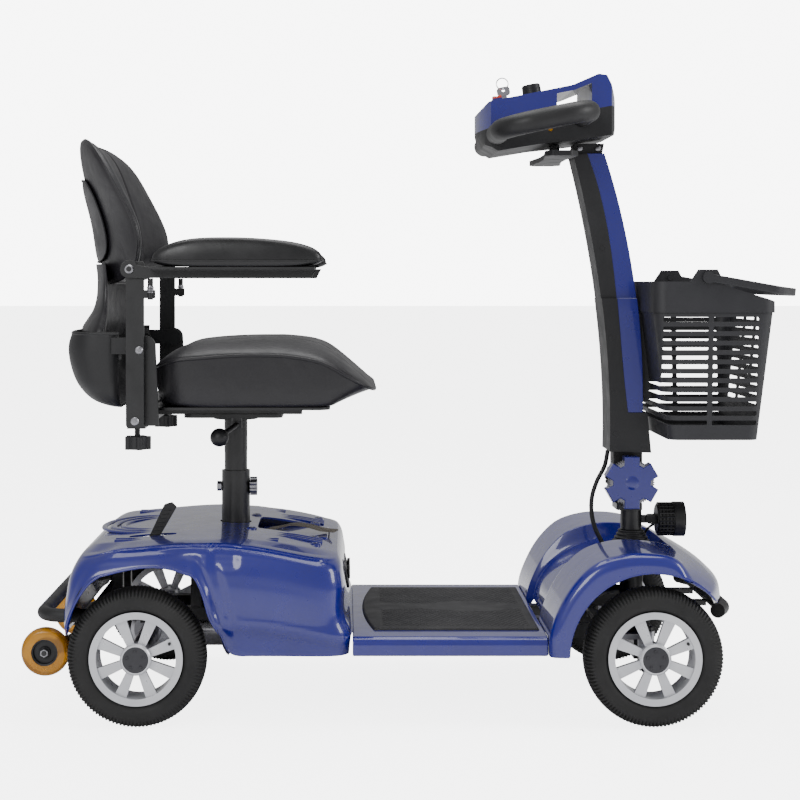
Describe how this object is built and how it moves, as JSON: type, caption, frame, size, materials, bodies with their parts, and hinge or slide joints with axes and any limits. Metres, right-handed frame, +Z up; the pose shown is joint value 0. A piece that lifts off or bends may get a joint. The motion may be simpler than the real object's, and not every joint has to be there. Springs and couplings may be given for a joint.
{
  "type": "mobility scooter",
  "caption": "Four-wheel mobility scooter with a folding tiller, delta grips, front basket, foot deck, battery, swivel seat on a post and anti-tip wheels.",
  "frame": {"origin": "on the floor, midway between the foremost and rearmost points and on the centre plane", "axes": "+X forward, +Y to the rider's left, +Z up"},
  "size_m": [1.1605, 0.548, 0.953],
  "materials": {
    "alloy": "silver wheel paint",
    "amber": "clear amber",
    "basket_plastic": "charcoal",
    "black_paint": "satin black powder coat",
    "black_plastic": "fine textured black",
    "blue_gloss": "high gloss blue",
    "lamp_black": "black",
    "mat_rubber": "ribbed dark grey",
    "rubber": "matte",
    "steel": "zinc plated",
    "tyre_rubber": "matte",
    "urethane": "moulded black urethane",
    "vinyl": "soft black vinyl",
    "webbing": "grey woven"
  },
  "bodies": {
    "chassis": {"rear_frame": "black_paint", "front_frame": "black_paint", "transaxle": "steel", "rear_shroud": "blue_gloss", "battery_pack": "blue_gloss", "battery_strap": "webbing", "charge_panel": "black_plastic", "deck_pan": "blue_gloss", "floor_mat": "mat_rubber", "front_cowl": "blue_gloss", "steering_boot": "rubber", "seat_post_outer": "black_paint", "rear_bumper": "rubber", "front_bumper": "rubber", "anti_tip_arms": "black_paint", "cables": "rubber"},
    "steering_column": {"steering_column": "black_paint"},
    "tie_rod": {"tie_rod": "black_paint"},
    "headlight": {"headlight": "lamp_black"},
    "star_knob": {"star_knob": "blue_gloss"},
    "tiller": {"tiller_rear": "black_plastic", "tiller_front": "blue_gloss", "head_lower": "black_plastic", "head_upper": "blue_gloss", "handlebar_left": "rubber", "handlebar_right": "rubber", "basket": "basket_plastic"},
    "basket_handle": {"basket_handle": "basket_plastic"},
    "throttle": {"throttle_paddle": "black_plastic"},
    "speed_knob": {"speed_knob": "black_plastic"},
    "key": {"key": "steel"},
    "horn_button": {"horn_button": "black_plastic"},
    "seat_slide": {"seat_post_inner": "black_paint"},
    "clamp_screw": {"clamp_screw": "steel"},
    "seat": {"seat_base": "black_paint", "seat_cushion": "vinyl"},
    "swivel_lever": {"swivel_lever": "black_plastic"},
    "backrest": {"backrest_shell": "vinyl", "backrest_cushion": "vinyl"},
    "freewheel_lever": {"freewheel_lever": "black_plastic"},
    "rear_wheel_left": {"rear_tyre_left": "tyre_rubber", "rear_rim_left": "alloy"},
    "front_wheel_left": {"front_tyre_left": "tyre_rubber", "front_rim_left": "alloy"},
    "knuckle_left": {"knuckle_left": "steel"},
    "armrest_post_left": {"armrest_post_left": "black_paint"},
    "armrest_left": {"armrest_rail_left": "black_paint", "armrest_pad_left": "urethane"},
    "armrest_knob_left": {"armrest_knob_left": "black_plastic"},
    "anti_tip_wheel_left": {"anti_tip_wheel_left": "amber"},
    "rear_wheel_right": {"rear_tyre_right": "tyre_rubber", "rear_rim_right": "alloy"},
    "front_wheel_right": {"front_tyre_right": "tyre_rubber", "front_rim_right": "alloy"},
    "knuckle_right": {"knuckle_right": "steel"},
    "armrest_post_right": {"armrest_post_right": "black_paint"},
    "armrest_right": {"armrest_rail_right": "black_paint", "armrest_pad_right": "urethane"},
    "armrest_knob_right": {"armrest_knob_right": "black_plastic"},
    "anti_tip_wheel_right": {"anti_tip_wheel_right": "amber"}
  },
  "joints": [
    {"name": "steering", "type": "hinge", "parent": "chassis", "child": "steering_column", "pos_m": [0.345, 0, 0.18], "axis": [0, 0, 1], "range_deg": [-25, 25], "deforming": ["cables"]},
    {"name": "kingpin_left", "type": "hinge", "parent": "chassis", "child": "knuckle_left", "pos_m": [0.34, 0.165, 0.1], "axis": [0, 0, 1], "range_deg": [-25, 25]},
    {"name": "front_wheel_left_spin", "type": "hinge", "parent": "knuckle_left", "child": "front_wheel_left", "pos_m": [0.34, 0.218, 0.1], "axis": [0, 1, 0], "continuous": true},
    {"name": "rear_wheel_left_spin", "type": "hinge", "parent": "chassis", "child": "rear_wheel_left", "pos_m": [-0.4, 0.218, 0.1], "axis": [0, 1, 0], "continuous": true},
    {"name": "anti_tip_wheel_left_spin", "type": "hinge", "parent": "chassis", "child": "anti_tip_wheel_left", "pos_m": [-0.544, 0.15, 0.092], "axis": [0, 1, 0], "continuous": true},
    {"name": "kingpin_right", "type": "hinge", "parent": "chassis", "child": "knuckle_right", "pos_m": [0.34, -0.165, 0.1], "axis": [0, 0, 1], "range_deg": [-25, 25]},
    {"name": "front_wheel_right_spin", "type": "hinge", "parent": "knuckle_right", "child": "front_wheel_right", "pos_m": [0.34, -0.218, 0.1], "axis": [0, 1, 0], "continuous": true},
    {"name": "rear_wheel_right_spin", "type": "hinge", "parent": "chassis", "child": "rear_wheel_right", "pos_m": [-0.4, -0.218, 0.1], "axis": [0, 1, 0], "continuous": true},
    {"name": "anti_tip_wheel_right_spin", "type": "hinge", "parent": "chassis", "child": "anti_tip_wheel_right", "pos_m": [-0.544, -0.15, 0.092], "axis": [0, 1, 0], "continuous": true},
    {"name": "tie_rod_ball", "type": "hinge", "parent": "knuckle_left", "child": "tie_rod", "pos_m": [0.28, 0.165, 0.118], "axis": [0, 0, 1], "range_deg": [-25, 25]},
    {"name": "tiller_fold", "type": "hinge", "parent": "steering_column", "child": "tiller", "pos_m": [0.3375, 0, 0.3295], "axis": [0, 1, 0], "range_deg": [-30, 4], "deforming": ["cables"]},
    {"name": "star_knob_turn", "type": "hinge", "parent": "steering_column", "child": "star_knob", "pos_m": [0.3375, 0, 0.3295], "axis": [0, 1, 0], "continuous": true},
    {"name": "headlight_tilt", "type": "hinge", "parent": "steering_column", "child": "headlight", "pos_m": [0.374, 0, 0.267], "axis": [0, 1, 0], "range_deg": [-20, 8], "deforming": ["cables"]},
    {"name": "basket_handle_lift", "type": "hinge", "parent": "tiller", "child": "basket_handle", "pos_m": [0.434, 0, 0.644], "axis": [0, -1, 0], "range_deg": [0, 110]},
    {"name": "throttle_swing", "type": "hinge", "parent": "tiller", "child": "throttle", "pos_m": [0.225, 0, 0.84], "axis": [0, 0, 1], "range_deg": [-10, 10], "stiffness_Nm_per_rad": 0.4},
    {"name": "speed_knob_turn", "type": "hinge", "parent": "tiller", "child": "speed_knob", "pos_m": [0.19176, 0, 0.92558], "axis": [-0.184, 0, 0.9829], "range_deg": [-135, 135]},
    {"name": "key_turn", "type": "hinge", "parent": "tiller", "child": "key", "pos_m": [0.14458, -0.04, 0.91675], "axis": [-0.184, 0, 0.9829], "range_deg": [0, 90]},
    {"name": "horn_press", "type": "slide", "parent": "tiller", "child": "horn_button", "axis": [0.184, 0, -0.9829], "range_m": [0, 0.0025], "stiffness_N_per_m": 400},
    {"name": "seat_height", "type": "slide", "parent": "chassis", "child": "seat_slide", "axis": [0, 0, 1], "range_m": [-0.05, 0.05]},
    {"name": "clamp_screw_turn", "type": "hinge", "parent": "chassis", "child": "clamp_screw", "pos_m": [-0.2725, 0, 0.3185], "axis": [1, 0, 0], "continuous": true},
    {"name": "seat_swivel", "type": "hinge", "parent": "seat_slide", "child": "seat", "pos_m": [-0.2725, 0, 0.43], "axis": [0, 0, 1], "continuous": true},
    {"name": "backrest_fold", "type": "hinge", "parent": "seat", "child": "backrest", "pos_m": [-0.39, 0, 0.545], "axis": [0, 1, 0], "range_deg": [0, 70]},
    {"name": "swivel_lever_swing", "type": "hinge", "parent": "seat_slide", "child": "swivel_lever", "pos_m": [-0.2685, -0.042, 0.418], "axis": [0, 0, 1], "range_deg": [-12, 12]},
    {"name": "armrest_left_width", "type": "slide", "parent": "seat", "child": "armrest_post_left", "axis": [0, 1, 0], "range_m": [0, 0.05]},
    {"name": "armrest_left_lift", "type": "hinge", "parent": "armrest_post_left", "child": "armrest_left", "pos_m": [-0.4105, 0.225, 0.656], "axis": [0, -1, 0], "range_deg": [0, 90]},
    {"name": "armrest_knob_left_turn", "type": "hinge", "parent": "seat", "child": "armrest_knob_left", "pos_m": [-0.403, 0.196, 0.41], "axis": [0, 0, 1], "continuous": true},
    {"name": "armrest_right_width", "type": "slide", "parent": "seat", "child": "armrest_post_right", "axis": [0, -1, 0], "range_m": [0, 0.05]},
    {"name": "armrest_right_lift", "type": "hinge", "parent": "armrest_post_right", "child": "armrest_right", "pos_m": [-0.4105, -0.225, 0.656], "axis": [0, -1, 0], "range_deg": [0, 90]},
    {"name": "armrest_knob_right_turn", "type": "hinge", "parent": "seat", "child": "armrest_knob_right", "pos_m": [-0.403, -0.196, 0.41], "axis": [0, 0, 1], "continuous": true},
    {"name": "freewheel_throw", "type": "hinge", "parent": "chassis", "child": "freewheel_lever", "pos_m": [-0.396, -0.128, 0.24], "axis": [0, -1, 0], "range_deg": [0, 30]}
  ],
  "couplings": [
    {"joint": "kingpin_left", "follows": "steering", "ratio": 1},
    {"joint": "kingpin_right", "follows": "steering", "ratio": 1},
    {"joint": "tie_rod_ball", "follows": "steering", "ratio": -1}
  ]
}
